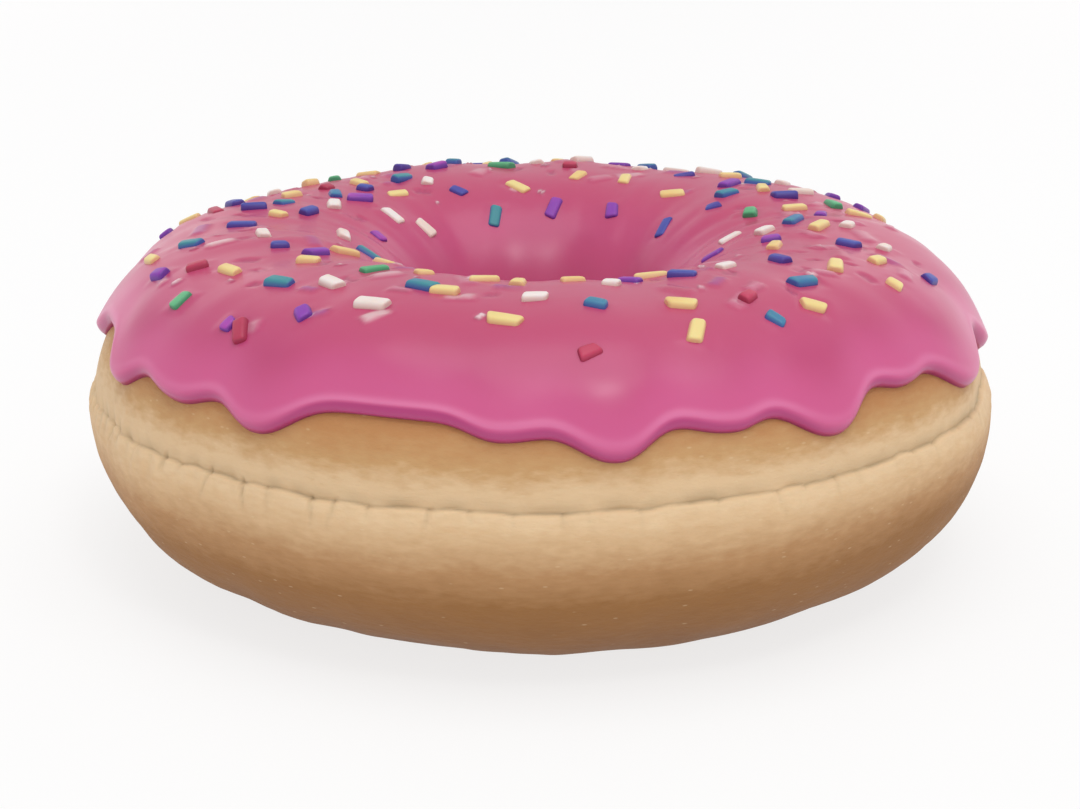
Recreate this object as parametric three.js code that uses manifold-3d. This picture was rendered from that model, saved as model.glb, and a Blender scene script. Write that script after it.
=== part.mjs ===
// A sprinkle frosted ring doughnut: a puffy baked ring with a wrinkled seam round its waist, and a
// coat of set icing over its top that runs down in drips and holds some 130 short sugar sprinkles.
// Millimetres, +Z up. The origin is on the table, under the middle of the hole. Azimuth 0 is the
// front (-Y) and grows towards +X. A section angle goes round the ring's own cross-section: 0 points
// away from the hole, 90 degrees up, 180 degrees into the hole.
import * as THREE from 'three';
import { mergeVertices } from 'three/addons/utils/BufferGeometryUtils.js';
import Module from 'manifold-3d';

const DEGREE = Math.PI / 180;
const FULL_TURN = 2 * Math.PI;

// The dough ring. Widths and heights run from the middle of its cross-section.
const RING_RADIUS = 28.8;
const RING_LIFT = 16.6;
const DOUGH_UPPER_WIDTH = 18.6;
const DOUGH_LOWER_WIDTH = 19.3;
const DOUGH_HOLE_WIDTH = 15.9;
const DOUGH_UPPER_HEIGHT = 15.55;
const DOUGH_LOWER_HEIGHT = 17.2;
const DOUGH_UPPER_SQUARENESS = 2.2;
const DOUGH_LOWER_SQUARENESS = 2.08;
const DOUGH_AROUND = 56;
const DOUGH_UPPER_ROWS = 12;
const DOUGH_LOWER_ROWS = 4;
const SWELL_FADE = 2.1;

// Slow swells of the dough: how many go round the ring, how many round the section, size and start.
const SWELLS = [
  { around: 2, section: 1, size: 0.16, start: 0.6 },
  { around: 5, section: 1, size: 0.14, start: 2.1 },
  { around: 9, section: 2, size: 0.12, start: 4.0 },
  { around: 13, section: -1, size: 0.10, start: 1.3 },
];

// The seam, where the two baked halves meet: a groove that dips a little at the left.
const SEAM_HEIGHT = 2.0;
const SEAM_TILT = 0.55;
const SEAM_DEPTH = 0.6;
const SEAM_WIDTH = 0.6;
const SEAM_ROWS = [-2.2, -0.8, 0, 0.8, 2.2];

// The icing's envelope, and the gap that parts its underside from the dough.
const ICING_WIDTH = 19.2;
const ICING_HOLE_WIDTH = 17.76;
const ICING_HEIGHT = 17.57;
const ICING_OUTER_SQUARENESS = 2.42;
const ICING_HOLE_SQUARENESS = 2.2;
const ICING_GAP = 0.3;
const ICING_AROUND = 96;
const ICING_TOP_ROWS = 7;
const ICING_UNDER_ROWS = 9;

// The icing's rim: how wide and how square its lip is between the front's drips, how much rounder
// where it is softest, and how the drips and the sides soften it; what share of the icing's overhang
// is tucked under, and over what reach; how far the lip stands proud; how much thinner the icing runs
// out towards its outer rim, at the sides and besides at the front; and how the drips fill that up.
const LIP_WIDTH = 1.0;
const LIP_SQUARENESS = 2.5;
const LIP_ROUNDING = 0.8;
const LIP_DRIP_SOFTENING = 0.25;
const LIP_SIDE_SOFTENING = 0.5;
const LIP_TUCK_SHARE = 0.6;
const LIP_TUCK_REACH = 6;
const LIP_BEAD = 0.5;
const LIP_BEAD_REACH = 3.2;
const RIM_THINNING = 0.5;
const RIM_FRONT_THINNING = 0.8;
const RIM_THINNING_REACH = 4;
const DRIP_FILLING = 0.2;
const LIP_ROWS = [0.15, 0.5, 1.1, 3.5];

// The icing's outer edge above the ring's middle, and the drips that fall below it:
// azimuth, drop, reach to the left and reach to the right, in degrees and millimetres.
const EDGE_HEIGHT = 9.2;
const DRIP_ROUNDNESS = 2.25;
const FRONT_DRIPS = [
  [-86, 1.1, 5.0, 5.0],
  [-63.4, 3.2, 4.3, 5.6],
  [-48.4, 2.1, 7.6, 6.2],
  [-34.3, 2.7, 5.6, 6.0],
  [-4.3, 1.35, 4.6, 5.9],
  [8.4, 3.0, 5.7, 4.9],
  [22.2, 1.4, 6.3, 4.2],
  [35.6, 3.1, 6.4, 5.0],
  [49.1, 0.9, 3.9, 3.7],
  [64.8, 3.8, 8.1, 7.2],
  [85, 4.3, 6.6, 6.0],
];
const BACK_DRIP_START = 101;
const BACK_DRIP_END = 276;
const BACK_DRIP_COUNT = 11;
const BACK_DRIP_SEED = 4711;

// The icing's inner edge, down in the hole.
const HOLE_EDGE_HEIGHT = 2.2;
const HOLE_EDGE_WAVES = [
  { around: 3, size: 0.7, start: 0.4 },
  { around: 7, size: 0.6, start: 2.2 },
  { around: 11, size: 0.4, start: 5.1 },
];

// The sprinkles: short six-sided rods of pressed sugar, half sunk in the icing. Seen from its end, a
// rod has a corner at each side, and two more above and two below, this many degrees up and down.
const SPRINKLE_SHORTEST = 1.6;
const SPRINKLE_LONGEST = 3.3;
const SPRINKLE_RADIUS = 0.9;
const SPRINKLE_CORNER = 50;
const SPRINKLE_COUNT = 132;
const SPRINKLE_SPACING = 3.1;
const SPRINKLE_INNER_RADIUS = 15.8;
const SPRINKLE_OUTER_RADIUS = 42.2;
const SPRINKLE_CROWDED_RADIUS = 34;
const SPRINKLE_CROWDED_REACH = 5;
const SPRINKLE_BACKGROUND = 0.55;
const SPRINKLE_FADE_RADIUS = 37.5;
const SPRINKLE_SLOPE_PROUD = -0.05;
const SPRINKLE_WALL_PROUD = -0.35;
const SPRINKLE_LIP_PROUD = -0.2;
const SPRINKLE_CREST_PROUD = -0.12;
const SPRINKLE_PROUD = 0.02;
const SPRINKLE_SINKING = 0.36;
const SPRINKLE_TILT = 7;
const SPRINKLE_ROLL = 16;
const SPRINKLE_SEED = 90210;
const LAID_LENGTH_SEED = 23205;
const CREST_LENGTH_SEED = 163839;

// The sprinkles are laid one by one on the front slope, the wall of the hole, its near lip and the
// front half of the crest, and fall by the rule at the back. Each laid one has an azimuth, a distance
// from the axis and a turn from level, anticlockwise as seen from outside.
const LAID_AZIMUTH = 100;
const LAID_RADIUS = 25;
const SLOPE_SPRINKLES = [
  [-80.5, 40.7, 20], [-70.5, 40.5, 30], [-66, 37.4, 70], [-59, 35.6, 8], [-58, 41.2, 100],
  [-45, 35, 12], [-44.5, 41.6, 85], [-41.8, 41.9, -50], [-36.3, 33.2, -15], [-34, 38.9, -40],
  [-25, 36.3, 3], [-20.5, 31.1, -12], [-16.2, 31.6, 2], [-5, 36.9, -12], [-0.8, 32.2, 6],
  [6, 41.2, 25], [8.6, 34.3, -30], [21, 39.4, 60], [22, 34.8, -22], [33, 35.5, 25],
  [33.3, 39.4, -65], [41, 38.9, -40], [45.5, 35.2, -12], [57, 34.5, 25], [60, 39.8, 90],
  [68, 36.5, -15], [72.3, 41.4, -15],
];
const WALL_SPRINKLES = [
  [-138.5, 24.5, -9], [-155, 22.3, -58], [-173.5, 22.6, -49], [170, 25.5, 72], [157.5, 25.8, -78],
  [139.8, 23.4, 30], [119.3, 22.2, 62], [-163.2, 17.8, 70], [175.3, 18.7, 76], [154, 18.8, -72],
  [129, 17.8, -69], [-125.5, 20.1, 87], [-134, 17.7, -77], [-107.5, 18.4, 83], [91.5, 20.2, -70],
  [82, 18.2, 79], [164.2, 35.3, -12],
];
const LIP_SPRINKLES = [
  [-78.5, 18.4, 70], [-48, 21, -10], [-36, 27.2, 78], [-26, 25.5, 42], [-12, 25.5, 28],
  [-4.5, 26.5, 85], [7, 25.2, 18], [14.3, 27.3, -24], [20, 25.2, -50], [27, 23.6, -20],
  [31, 26.6, -47], [41.5, 27.3, 5],
];
const CREST_SPRINKLES = [
  [-110.2, 36.4, 52], [-105, 40.1, 80], [-101.2, 41.9, -84], [-79, 36.7, 53], [-89.2, 31.6, 81],
  [-77.5, 29.3, 2], [-68.2, 28.5, 81], [-98, 28.6, 62], [-124, 37.1, 50], [-117.8, 31.8, -26],
  [-53, 28.6, 41], [-61.3, 25.6, -73], [-66.5, 21.7, -70], [-90, 20.9, 10],
  [-123.2, 27.6, 43], [-114.2, 25, 30], [-138.5, 36.8, 55], [-136.2, 30.3, 84], [-125, 24.7, -41],
  [139, 34.1, 59], [131.5, 29, -74], [122.2, 29.8, -31], [117.5, 33.2, 86], [105.8, 29, 90],
  [106.8, 24, -25], [108.8, 34.5, -2], [118.7, 38.1, -20], [113, 39.6, -55], [108.8, 40.4, -42],
  [92.8, 27.1, -32], [86, 23.7, -44], [86.8, 29.5, -27], [88.8, 32.6, -23], [75.2, 32.7, 77],
  [67.8, 25.8, 6], [54, 29.2, 72], [77, 24.6, -77], [78.2, 36.4, -18], [128.8, 36.2, -68],
];

// A multiplicative random draw between 0 and 1, so that every build gives the same doughnut.
function randomDraws(seed) {
  let state = seed;
  return () => {
    state = (state * 48271) % 2147483647;
    return state / 2147483647;
  };
}

function smoothStep(low, high, value) {
  const part = Math.min(Math.max((value - low) / (high - low), 0), 1);
  return part * part * (3 - 2 * part);
}

// Cosine and sine of a section angle, squared off to a superellipse.
function squaredOff(angle, squareness) {
  const power = 2 / squareness;
  const across = Math.cos(angle);
  const up = Math.sin(angle);
  return {
    across: Math.sign(across) * Math.abs(across) ** power,
    up: Math.sign(up) * Math.abs(up) ** power,
  };
}

function swellAt(azimuth, angle) {
  return SWELLS.reduce((total, swell) => (
    total + swell.size * Math.sin(swell.around * azimuth + swell.section * angle + swell.start)
  ), 0);
}

function seamHeightAt(azimuth) {
  return SEAM_HEIGHT + SEAM_TILT * Math.sin(azimuth);
}

// The section angle at which an upper outline reaches a height above the ring's middle.
function angleAtHeight(height, fullHeight, squareness) {
  return Math.asin((height / fullHeight) ** (squareness / 2));
}

// A point of the dough's surface: its distance from the axis and its height above the table.
function doughPoint(azimuth, angle, lift = 0) {
  const upper = Math.sin(angle) >= 0;
  const outline = squaredOff(angle, upper ? DOUGH_UPPER_SQUARENESS : DOUGH_LOWER_SQUARENESS);
  const height = outline.up * (upper ? DOUGH_UPPER_HEIGHT : DOUGH_LOWER_HEIGHT);
  const aboveSeam = height - seamHeightAt(azimuth);
  let width = DOUGH_HOLE_WIDTH;
  let groove = 0;
  if (outline.across > 0) {
    const upperShare = smoothStep(-2.2, 0.4, aboveSeam);
    width = DOUGH_LOWER_WIDTH + (DOUGH_UPPER_WIDTH - DOUGH_LOWER_WIDTH) * upperShare;
    groove = SEAM_DEPTH * Math.exp(-((aboveSeam / SEAM_WIDTH) ** 2));
  }
  const swellShare = smoothStep(-RING_LIFT, SWELL_FADE - RING_LIFT, height);
  const swell = swellAt(azimuth, angle) * swellShare + lift;
  const radius = RING_RADIUS + outline.across * width + Math.cos(angle) * swell - groove;
  const level = RING_LIFT + Math.max(height, -RING_LIFT) + Math.sin(angle) * swell;
  return { radius, level };
}

// A point of the icing's full outer surface, away from its rims.
function icingPoint(azimuth, angle) {
  const outer = Math.cos(angle) > 0;
  const outline = squaredOff(angle, outer ? ICING_OUTER_SQUARENESS : ICING_HOLE_SQUARENESS);
  const width = outer ? ICING_WIDTH : ICING_HOLE_WIDTH;
  const swell = swellAt(azimuth, angle);
  return {
    radius: RING_RADIUS + outline.across * width + Math.cos(angle) * swell,
    level: RING_LIFT + outline.up * ICING_HEIGHT + Math.sin(angle) * swell,
  };
}

// The drips round the hidden back follow the same habit as those at the front.
function allDrips() {
  const draw = randomDraws(BACK_DRIP_SEED);
  const step = (BACK_DRIP_END - BACK_DRIP_START) / (BACK_DRIP_COUNT - 1);
  const backDrips = Array.from({ length: BACK_DRIP_COUNT }, (_, index) => {
    const azimuth = BACK_DRIP_START + (index + 0.5 * (draw() - 0.5)) * step;
    return [azimuth, 1.0 + 2.4 * draw(), 4.5 + 3 * draw(), 4.5 + 3 * draw()];
  });
  return [...FRONT_DRIPS, ...backDrips];
}

const DRIPS = allDrips();

// How far the icing's outer edge hangs below its mean line at an azimuth.
function dripDropAt(azimuth) {
  return DRIPS.reduce((total, [centre, drop, leftReach, rightReach]) => {
    const away = ((azimuth / DEGREE - centre + 540) % 360) - 180;
    const reach = away < 0 ? leftReach : rightReach;
    return total + drop * Math.exp(-(Math.abs(away / reach) ** DRIP_ROUNDNESS));
  }, 0);
}

function holeEdgeHeightAt(azimuth) {
  return HOLE_EDGE_WAVES.reduce((total, wave) => (
    total + wave.size * Math.sin(wave.around * azimuth + wave.start)
  ), HOLE_EDGE_HEIGHT);
}

// The section angles between which the icing lies, and how far its outer surface is tucked down
// towards the outer rim, so that the lip stands just above it.
function icingReach(azimuth) {
  const outerHeight = EDGE_HEIGHT - dripDropAt(azimuth);
  const innerHeight = holeEdgeHeightAt(azimuth);
  const outer = angleAtHeight(outerHeight, DOUGH_UPPER_HEIGHT, DOUGH_UPPER_SQUARENESS);
  return {
    outer,
    inner: Math.PI - angleAtHeight(innerHeight, DOUGH_UPPER_HEIGHT, DOUGH_UPPER_SQUARENESS),
    tuck: LIP_TUCK_SHARE
      * (outer - angleAtHeight(outerHeight, ICING_HEIGHT, ICING_OUTER_SQUARENESS)),
  };
}

// How soft the icing's lip is at an azimuth: 0 between the front's drips, up to 1 on a long drip.
function lipSoftnessAt(azimuth) {
  const onDrip = LIP_DRIP_SOFTENING * dripDropAt(azimuth);
  return Math.min(onDrip + LIP_SIDE_SOFTENING * Math.sin(azimuth) ** 2, 1);
}

// The icing's surface with its rims rounded down to the dough, and its lip standing proud.
function rimmedIcingPoint(azimuth, angle, reach) {
  const under = doughPoint(azimuth, angle, ICING_GAP);
  const fromOuter = (angle - reach.outer) * DOUGH_UPPER_WIDTH;
  const tuck = reach.tuck * Math.exp(-((fromOuter / LIP_TUCK_REACH) ** 2));
  const full = icingPoint(azimuth, angle - tuck);
  const fromInner = (reach.inner - angle) * DOUGH_HOLE_WIDTH;
  const fromRim = Math.max(Math.min(fromOuter, fromInner), 0);
  const bead = LIP_BEAD * Math.exp(-((fromRim / LIP_BEAD_REACH) ** 2));
  const filled = Math.max(1 - DRIP_FILLING * dripDropAt(azimuth), 0);
  const mostThinned = (RIM_THINNING + RIM_FRONT_THINNING * Math.cos(azimuth) ** 2) * filled;
  const thinning = mostThinned * Math.exp(-((fromOuter / RIM_THINNING_REACH) ** 2));
  const extra = bead - thinning;
  const softness = lipSoftnessAt(azimuth);
  const across = Math.min(fromRim / LIP_WIDTH, 1);
  const squareness = LIP_SQUARENESS - LIP_ROUNDING * softness;
  const rise = (1 - (1 - across) ** squareness) ** (1 / squareness);
  const thicknessOut = full.radius + extra * Math.cos(angle) - under.radius;
  const thicknessUp = full.level + extra * Math.sin(angle) - under.level;
  return {
    radius: under.radius + rise * thicknessOut,
    level: under.level + rise * thicknessUp,
  };
}

function placed(azimuth, point) {
  return new THREE.Vector3(
    point.radius * Math.sin(azimuth),
    -point.radius * Math.cos(azimuth),
    point.level,
  );
}

// A closed ring skinned over one closed loop of points for each azimuth. The loops run
// anticlockwise seen with the hole at the left, and every loop has the same number of points.
function ringGeometry(aroundCount, loopAt) {
  const positions = [];
  const faces = [];
  let loopCount = 0;
  for (let step = 0; step < aroundCount; step += 1) {
    const azimuth = (FULL_TURN * step) / aroundCount;
    const loop = loopAt(azimuth);
    loopCount = loop.length;
    loop.forEach((point) => positions.push(...placed(azimuth, point).toArray()));
  }
  for (let step = 0; step < aroundCount; step += 1) {
    const here = step * loopCount;
    const there = ((step + 1) % aroundCount) * loopCount;
    for (let row = 0; row < loopCount; row += 1) {
      const next = (row + 1) % loopCount;
      faces.push(here + row, there + row, there + next);
      faces.push(here + row, there + next, here + next);
    }
  }
  const geometry = new THREE.BufferGeometry();
  geometry.setAttribute('position', new THREE.Float32BufferAttribute(positions, 3));
  geometry.setIndex(faces);
  return geometry;
}

// Angles evenly spaced between two others, which are left out.
function anglesBetween(start, end, count) {
  return Array.from({ length: count }, (_, row) => start + ((end - start) * (row + 1)) / (count + 1));
}

// The dough's section: close rows across the seam, even rows over the top and down the hole, the
// two edges of the flat underneath, and even rows up the outside.
function doughLoop(azimuth) {
  const seamAngle = angleAtHeight(
    seamHeightAt(azimuth),
    DOUGH_UPPER_HEIGHT,
    DOUGH_UPPER_SQUARENESS,
  );
  const seamAngles = SEAM_ROWS.map((offset) => seamAngle + offset / DOUGH_LOWER_WIDTH);
  const seamTop = seamAngles[seamAngles.length - 1];
  const baseAngle = angleAtHeight(RING_LIFT, DOUGH_LOWER_HEIGHT, DOUGH_LOWER_SQUARENESS);
  const baseInner = Math.PI + baseAngle;
  const baseOuter = FULL_TURN - baseAngle;
  const angles = [
    ...seamAngles,
    ...anglesBetween(seamTop, baseInner, DOUGH_UPPER_ROWS),
    baseInner,
    baseOuter,
    ...anglesBetween(baseOuter, FULL_TURN + seamAngles[0], DOUGH_LOWER_ROWS),
  ];
  return angles.map((angle) => doughPoint(azimuth, angle));
}

// The icing's section: up over the outer lip, across the top, down over the inner lip, and back
// along the underside.
function icingLoop(azimuth) {
  const reach = icingReach(azimuth);
  const outerLip = LIP_ROWS.map((offset) => reach.outer + offset / DOUGH_UPPER_WIDTH);
  const innerLip = LIP_ROWS.map((offset) => reach.inner - offset / DOUGH_HOLE_WIDTH).reverse();
  const topAngles = anglesBetween(outerLip[outerLip.length - 1], innerLip[0], ICING_TOP_ROWS);
  const outside = [reach.outer, ...outerLip, ...topAngles, ...innerLip, reach.inner];
  const underAngles = anglesBetween(reach.inner, reach.outer, ICING_UNDER_ROWS);
  return [
    ...outside.map((angle) => rimmedIcingPoint(azimuth, angle, reach)),
    ...underAngles.map((angle) => doughPoint(azimuth, angle, ICING_GAP)),
  ];
}

// The icing's section angle at a distance from the axis.
function icingAngleAtRadius(radius) {
  const offset = radius - RING_RADIUS;
  const width = offset > 0 ? ICING_WIDTH : ICING_HOLE_WIDTH;
  const squareness = offset > 0 ? ICING_OUTER_SQUARENESS : ICING_HOLE_SQUARENESS;
  const squeezed = Math.sign(offset) * (Math.abs(offset) / width) ** (squareness / 2);
  return Math.acos(squeezed);
}

// How crowded the sprinkles lie at a distance from the axis, from 0 to 1.
function sprinkleDensity(radius) {
  const crowd = Math.exp(-(((radius - SPRINKLE_CROWDED_RADIUS) / SPRINKLE_CROWDED_REACH) ** 2));
  const fade = 1 - smoothStep(SPRINKLE_FADE_RADIUS, SPRINKLE_OUTER_RADIUS + 1, radius);
  const growth = radius / SPRINKLE_OUTER_RADIUS;
  return (SPRINKLE_BACKGROUND + (1 - SPRINKLE_BACKGROUND) * crowd) * fade * growth;
}

// Whether the sprinkles there are laid one by one.
function isLaid(azimuthDegrees, radius) {
  return Math.abs(azimuthDegrees) < LAID_AZIMUTH || radius < LAID_RADIUS;
}

// Each sprinkle's place: azimuth and section angle, turn, tilt, roll, height above the icing and
// length.
function scatterSprinkles() {
  const draw = randomDraws(SPRINKLE_SEED);
  const laidDraw = randomDraws(LAID_LENGTH_SEED);
  const crestDraw = randomDraws(CREST_LENGTH_SEED);
  const spread = SPRINKLE_LONGEST - SPRINKLE_SHORTEST;
  const laid = (places, proud, lengthDraw) => places.map(([azimuth, radius, turn]) => ({
    azimuth: azimuth * DEGREE,
    angle: icingAngleAtRadius(radius),
    turn: turn * DEGREE,
    tilt: 0,
    roll: 0,
    proud,
    length: SPRINKLE_SHORTEST + spread * lengthDraw(),
  }));
  const sprinkles = [
    ...laid(SLOPE_SPRINKLES, SPRINKLE_SLOPE_PROUD, laidDraw),
    ...laid(WALL_SPRINKLES, SPRINKLE_WALL_PROUD, laidDraw),
    ...laid(LIP_SPRINKLES, SPRINKLE_LIP_PROUD, laidDraw),
    ...laid(CREST_SPRINKLES, SPRINKLE_CREST_PROUD, crestDraw),
  ];
  const centres = sprinkles.map((one) => placed(one.azimuth, icingPoint(one.azimuth, one.angle)));
  while (sprinkles.length < SPRINKLE_COUNT) {
    const azimuthDegrees = 360 * draw() - 180;
    const span = SPRINKLE_OUTER_RADIUS - SPRINKLE_INNER_RADIUS;
    const radius = SPRINKLE_INNER_RADIUS + span * draw();
    const keep = draw();
    const turn = FULL_TURN * draw();
    const tilt = SPRINKLE_TILT * DEGREE * (2 * draw() - 1);
    const roll = SPRINKLE_ROLL * DEGREE * (2 * draw() - 1);
    const proud = SPRINKLE_PROUD - SPRINKLE_SINKING * draw() ** 2;
    const length = SPRINKLE_SHORTEST + spread * draw();
    const azimuth = azimuthDegrees * DEGREE;
    const angle = icingAngleAtRadius(radius);
    const centre = placed(azimuth, icingPoint(azimuth, angle));
    const crowded = centres.some((other) => other.distanceTo(centre) < SPRINKLE_SPACING);
    if (keep < sprinkleDensity(radius) && !isLaid(azimuthDegrees, radius) && !crowded) {
      sprinkles.push({ azimuth, angle, turn, tilt, roll, proud, length });
      centres.push(centre);
    }
  }
  return sprinkles;
}

function sprinkleOutline() {
  const angles = [0, SPRINKLE_CORNER, 180 - SPRINKLE_CORNER];
  const corners = [...angles, ...angles.map((angle) => angle + 180)].map((angle) => (
    new THREE.Vector2(SPRINKLE_RADIUS, 0).rotateAround(new THREE.Vector2(), angle * DEGREE)
  ));
  return new THREE.Shape(corners);
}

// One sprinkle's rod, laid on the icing: its axis turned from level within the surface.
function sprinkleGeometry(sprinkle) {
  const { azimuth, angle, turn, tilt, roll, proud, length } = sprinkle;
  const small = 0.01;
  const centre = placed(azimuth, icingPoint(azimuth, angle));
  const level = new THREE.Vector3(Math.cos(azimuth), Math.sin(azimuth), 0);
  const uphill = placed(azimuth, icingPoint(azimuth, angle + small)).sub(centre).normalize();
  const outward = new THREE.Vector3().crossVectors(level, uphill).normalize();
  const along = level.clone().multiplyScalar(Math.cos(turn))
    .addScaledVector(uphill, Math.sin(turn))
    .addScaledVector(outward, Math.tan(tilt))
    .normalize();
  const side = new THREE.Vector3().crossVectors(outward, along).normalize();
  outward.crossVectors(along, side);
  centre.addScaledVector(outward, proud);
  const rod = new THREE.ExtrudeGeometry(sprinkleOutline(), { depth: length, bevelEnabled: false });
  rod.translate(0, 0, -length / 2);
  rod.rotateZ(roll);
  rod.applyMatrix4(new THREE.Matrix4().makeBasis(side, outward, along).setPosition(centre));
  return rod;
}

// A solid of the boolean library, from a closed geometry with its shared corners merged.
function solidOf(wasm, geometry) {
  const bare = geometry.clone();
  bare.deleteAttribute('normal');
  bare.deleteAttribute('uv');
  const merged = mergeVertices(bare);
  return new wasm.Manifold(new wasm.Mesh({
    numProp: 3,
    vertProperties: new Float32Array(merged.attributes.position.array),
    triVerts: new Uint32Array(merged.index.array),
  }));
}

function geometryOf(solid) {
  const mesh = solid.getMesh();
  const geometry = new THREE.BufferGeometry();
  geometry.setAttribute('position', new THREE.BufferAttribute(mesh.vertProperties, 3));
  geometry.setIndex(new THREE.BufferAttribute(mesh.triVerts, 1));
  return geometry;
}

function namedMesh(name, geometry, finish) {
  geometry.computeVertexNormals();
  const mesh = new THREE.Mesh(geometry, new THREE.MeshStandardMaterial(finish));
  mesh.name = name;
  return mesh;
}

// The dough ring, baked golden and matt, with a flat spot underneath where it rests.
function doughRing() {
  const geometry = ringGeometry(DOUGH_AROUND, doughLoop);
  return namedMesh('dough_ring', geometry, { color: '#c79b6c', roughness: 0.75, metalness: 0 });
}

// The pink icing, with every sprinkle fused to it.
function pinkIcing(wasm) {
  const coat = solidOf(wasm, ringGeometry(ICING_AROUND, icingLoop));
  const sprinkled = scatterSprinkles().reduce(
    (solid, sprinkle) => solid.add(solidOf(wasm, sprinkleGeometry(sprinkle))),
    coat,
  );
  const geometry = geometryOf(sprinkled);
  return namedMesh('pink_icing', geometry, { color: '#d0648c', roughness: 0.35, metalness: 0 });
}

const wasm = await Module();
wasm.setup();

const doughnut = new THREE.Group();
doughnut.add(doughRing(), pinkIcing(wasm));

export default doughnut;
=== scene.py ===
import math
import bmesh
import bpy
import numpy as np
from mathutils import Matrix, Vector, noise


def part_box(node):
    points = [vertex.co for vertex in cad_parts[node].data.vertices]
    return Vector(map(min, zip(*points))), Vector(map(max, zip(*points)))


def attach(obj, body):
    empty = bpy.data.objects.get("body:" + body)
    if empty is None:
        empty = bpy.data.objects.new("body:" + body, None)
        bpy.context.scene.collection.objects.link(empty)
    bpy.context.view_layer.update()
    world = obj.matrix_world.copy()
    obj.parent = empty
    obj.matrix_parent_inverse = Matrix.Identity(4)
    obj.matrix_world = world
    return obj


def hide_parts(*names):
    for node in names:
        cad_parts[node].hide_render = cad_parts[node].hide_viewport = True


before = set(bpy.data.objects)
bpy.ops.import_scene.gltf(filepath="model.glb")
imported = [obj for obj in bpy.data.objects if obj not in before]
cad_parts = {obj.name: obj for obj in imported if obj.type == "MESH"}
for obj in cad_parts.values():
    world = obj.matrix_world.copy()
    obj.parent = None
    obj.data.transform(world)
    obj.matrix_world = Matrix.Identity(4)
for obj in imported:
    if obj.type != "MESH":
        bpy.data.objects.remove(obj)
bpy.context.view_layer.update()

# ------------------------------------------------------------------------------------------------
# Dough ring.
# A risen yeast-dough ring, browned on both faces. The two faces meet in a pleated seam round the
# waist, where the crust stays pale. A flat grid is rolled into a ring, and its points are then moved
# out to the risen form, the seam with its ledge and pleats, and the flat it rests on.

# Azimuth 0 is the front (-Y) and grows towards +X. A section angle goes round the ring's own
# section: 0 is away from the hole, a quarter turn is up.
MM = 0.001
FULL_TURN = 2 * math.pi
TABLE_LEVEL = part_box("dough_ring")[0][2]
RING_RADIUS = 28.8 * MM
RING_LIFT = 16.6 * MM
DOUGH_UPPER_WIDTH = 18.6 * MM
DOUGH_LOWER_WIDTH = 19.3 * MM
DOUGH_HOLE_WIDTH = 15.9 * MM
DOUGH_UPPER_HEIGHT = 15.55 * MM
DOUGH_LOWER_HEIGHT = 17.2 * MM
DOUGH_UPPER_SQUARENESS = 2.2
DOUGH_LOWER_SQUARENESS = 2.08
DOUGH_AROUND = 900
DOUGH_SECTION = 120
DOUGH_CROWDING = 0.84
SWELLS = (
    (2, 1, 0.16 * MM, 0.6), (5, 1, 0.14 * MM, 2.1), (9, 2, 0.12 * MM, 4.0), (13, -1, 0.10 * MM, 1.3),
)
SWELL_FADE = 2.1 * MM
SEAM_HEIGHT = 2.0 * MM
SEAM_TILT = 0.55 * MM
SEAM_DEPTH = 0.4 * MM
SEAM_UPPER_REACH = 0.9 * MM
SEAM_LEDGE_REACH = 0.16 * MM
SEAM_LEDGE_SWELL = 0.16 * MM
SEAM_SCALLOP_RISE = 0.34 * MM
SEAM_FADE_AZIMUTH = -88
SEAM_FADE_REACH = 32
SEAM_RIB_SPACING = 2.5 * MM
SEAM_RIB_HEIGHT = 0.2 * MM
PLEAT_COUNT = 76
PLEAT_WIDTH = 0.24 * MM
PLEAT_DEPTH = 0.34 * MM
PLEAT_SEED = 3141
PLEATED_SIDE = math.radians(-58)
PLEATED_REACH = 0.8
SEAM_DRIFT = 0.24 * MM
SEAM_JITTER = 0.10 * MM
PUCKER_HEIGHT = 0.26 * MM
LUMP_HEIGHT = 0.42 * MM
WAVE_HEIGHT = 0.13 * MM
RIPPLE_HEIGHT = 0.05 * MM
# Painted shade: the crust's right side is darkened along the browning ramp.
BROWNER_SHADE_SIDE = math.radians(62)
BROWNER_SHADE_REACH = 0.45
BROWNER_SHADE_SHARE = 0.25
PALER_SIDE = math.radians(-80)
PALER_REACH = 0.33
PALER_SHARE = 0.35
# Browning by height round the seam. The darkest, lowest stops are partly real browning and partly
# painted shade under the ring.
CRUST_BROWNING_AND_SHADE = (
    (0.02, "#7c5436"), (0.14, "#8d6139"), (0.27, "#9b6c3d"), (0.38, "#bd8f62"), (0.48, "#dfb98d"),
    (0.55, "#eccca3"), (0.62, "#e6c49a"), (0.68, "#cea270"), (0.76, "#c48d5b"), (1.0, "#ba7f4c"),
)
CRUST_FLECK = "#ead2ac"
# Painted shade for the seam's groove, the band above it, the pleats' creases and the ribs' hollows.
CRUST_CREASE_SHADE = "#7d6a4c"
CRUST_LOWEST = -18.0
CRUST_HIGHEST = 14.0
CRUST_STREAKING = 2.8
CRUST_BLOTCH_WIDTH = 6.667 * MM
CRUST_MOTTLE_WIDTH = 1.613 * MM
CRUST_FLECK_SPACING = 2.632 * MM
CRUST_GRAIN_WIDTH = 1.429 * MM
CRUST_PIT_SPACING = 1.923 * MM


def smooth_step(low, high, value):
    part = np.clip((value - low) / (high - low), 0, 1)
    return part * part * (3 - 2 * part)


def squared_off(angle, squareness):
    """Cosine and sine of a section angle, squared off to a superellipse."""
    power = 2 / squareness
    across = np.sign(np.cos(angle)) * np.abs(np.cos(angle)) ** power
    up = np.sign(np.sin(angle)) * np.abs(np.sin(angle)) ** power
    return across, up


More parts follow.
